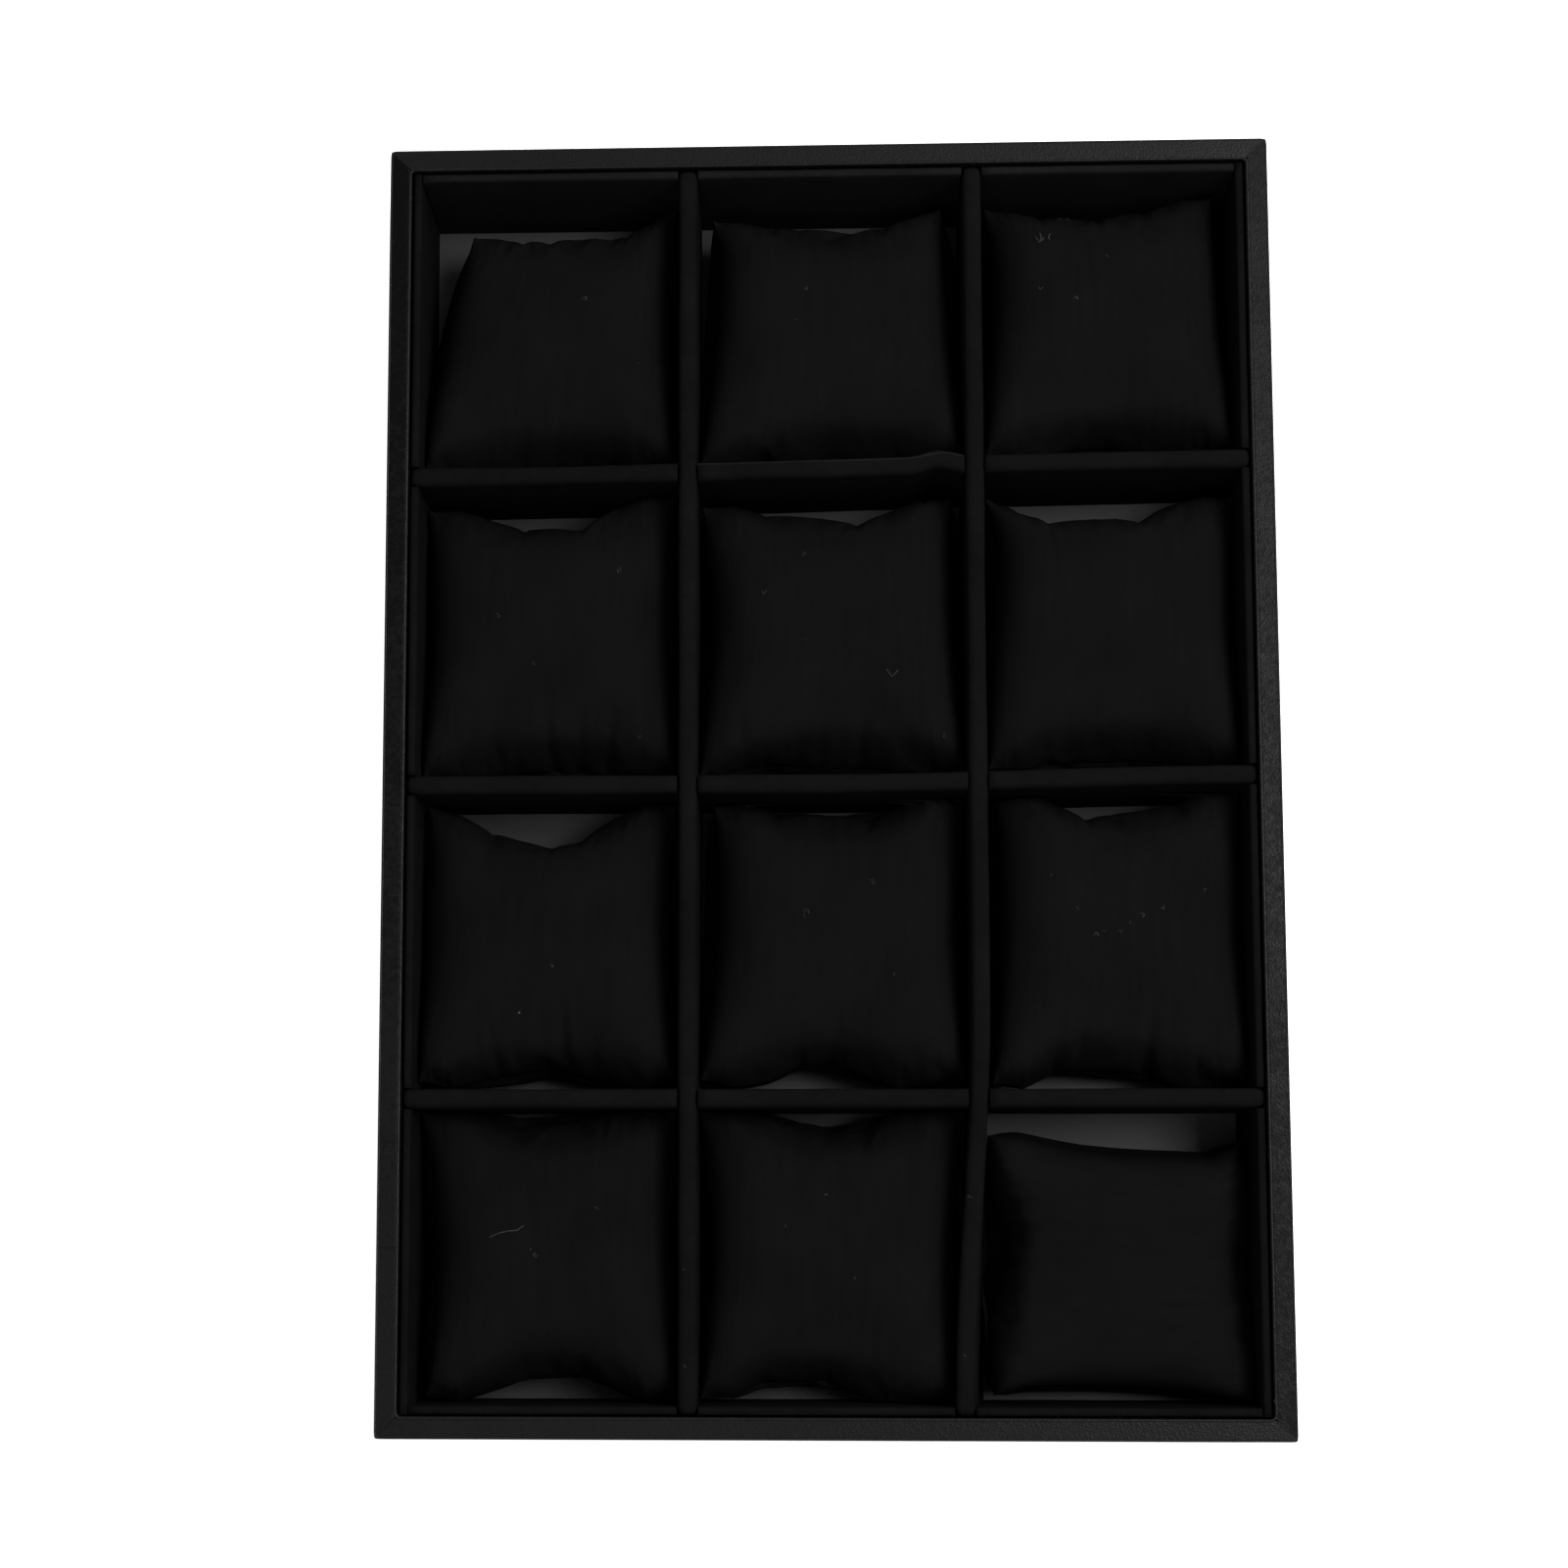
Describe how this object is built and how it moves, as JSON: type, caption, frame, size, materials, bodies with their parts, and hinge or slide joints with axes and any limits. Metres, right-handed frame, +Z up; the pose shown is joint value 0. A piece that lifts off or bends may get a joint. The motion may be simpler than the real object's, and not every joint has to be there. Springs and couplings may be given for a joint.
{
  "type": "watch storage box",
  "caption": "Open watch tray with a leatherette rim, velvet liners and slotted dividers that part it into compartments, each holding a stuffed velvet pillow that a watch straps round.",
  "frame": {"origin": "centre of the tray's footprint, on the plane that it stands on", "axes": "+Z up out of the tray, +Y along its length towards the row of pillows at the picture's top, +X across it to the picture's right"},
  "size_m": [0.24, 0.35, 0.045],
  "materials": {
    "leatherette": "fine-grained black leatherette, satin",
    "base_board": "plain fibreboard, covered on both sides",
    "cover_paper": "matt black lining sheet glued under the tray",
    "floor_lining": "smooth dark grey lining sheet with a soft sheen",
    "liner_velvet": "short black velvet over board",
    "divider_velvet": "short black velvet over padded board",
    "pillow_velvet": "soft black velvet, stuffed, gathered at two ends"
  },
  "bodies": {
    "root": {"wall_left": "leatherette", "wall_right": "leatherette", "wall_back": "leatherette", "wall_front": "leatherette", "base_board": "base_board", "underside_cover": "cover_paper", "floor_lining": "floor_lining", "liner_left": "liner_velvet", "liner_right": "liner_velvet", "liner_back": "liner_velvet", "liner_front": "liner_velvet", "long_divider_left": "divider_velvet", "long_divider_right": "divider_velvet", "cross_divider_back": "divider_velvet", "cross_divider_middle": "divider_velvet", "cross_divider_front": "divider_velvet", "pillow_1_1": "pillow_velvet", "pillow_1_2": "pillow_velvet", "pillow_1_3": "pillow_velvet", "pillow_2_1": "pillow_velvet", "pillow_2_2": "pillow_velvet", "pillow_2_3": "pillow_velvet", "pillow_3_1": "pillow_velvet", "pillow_3_2": "pillow_velvet", "pillow_3_3": "pillow_velvet", "pillow_4_1": "pillow_velvet", "pillow_4_2": "pillow_velvet", "pillow_4_3": "pillow_velvet"}
  },
  "joints": []
}
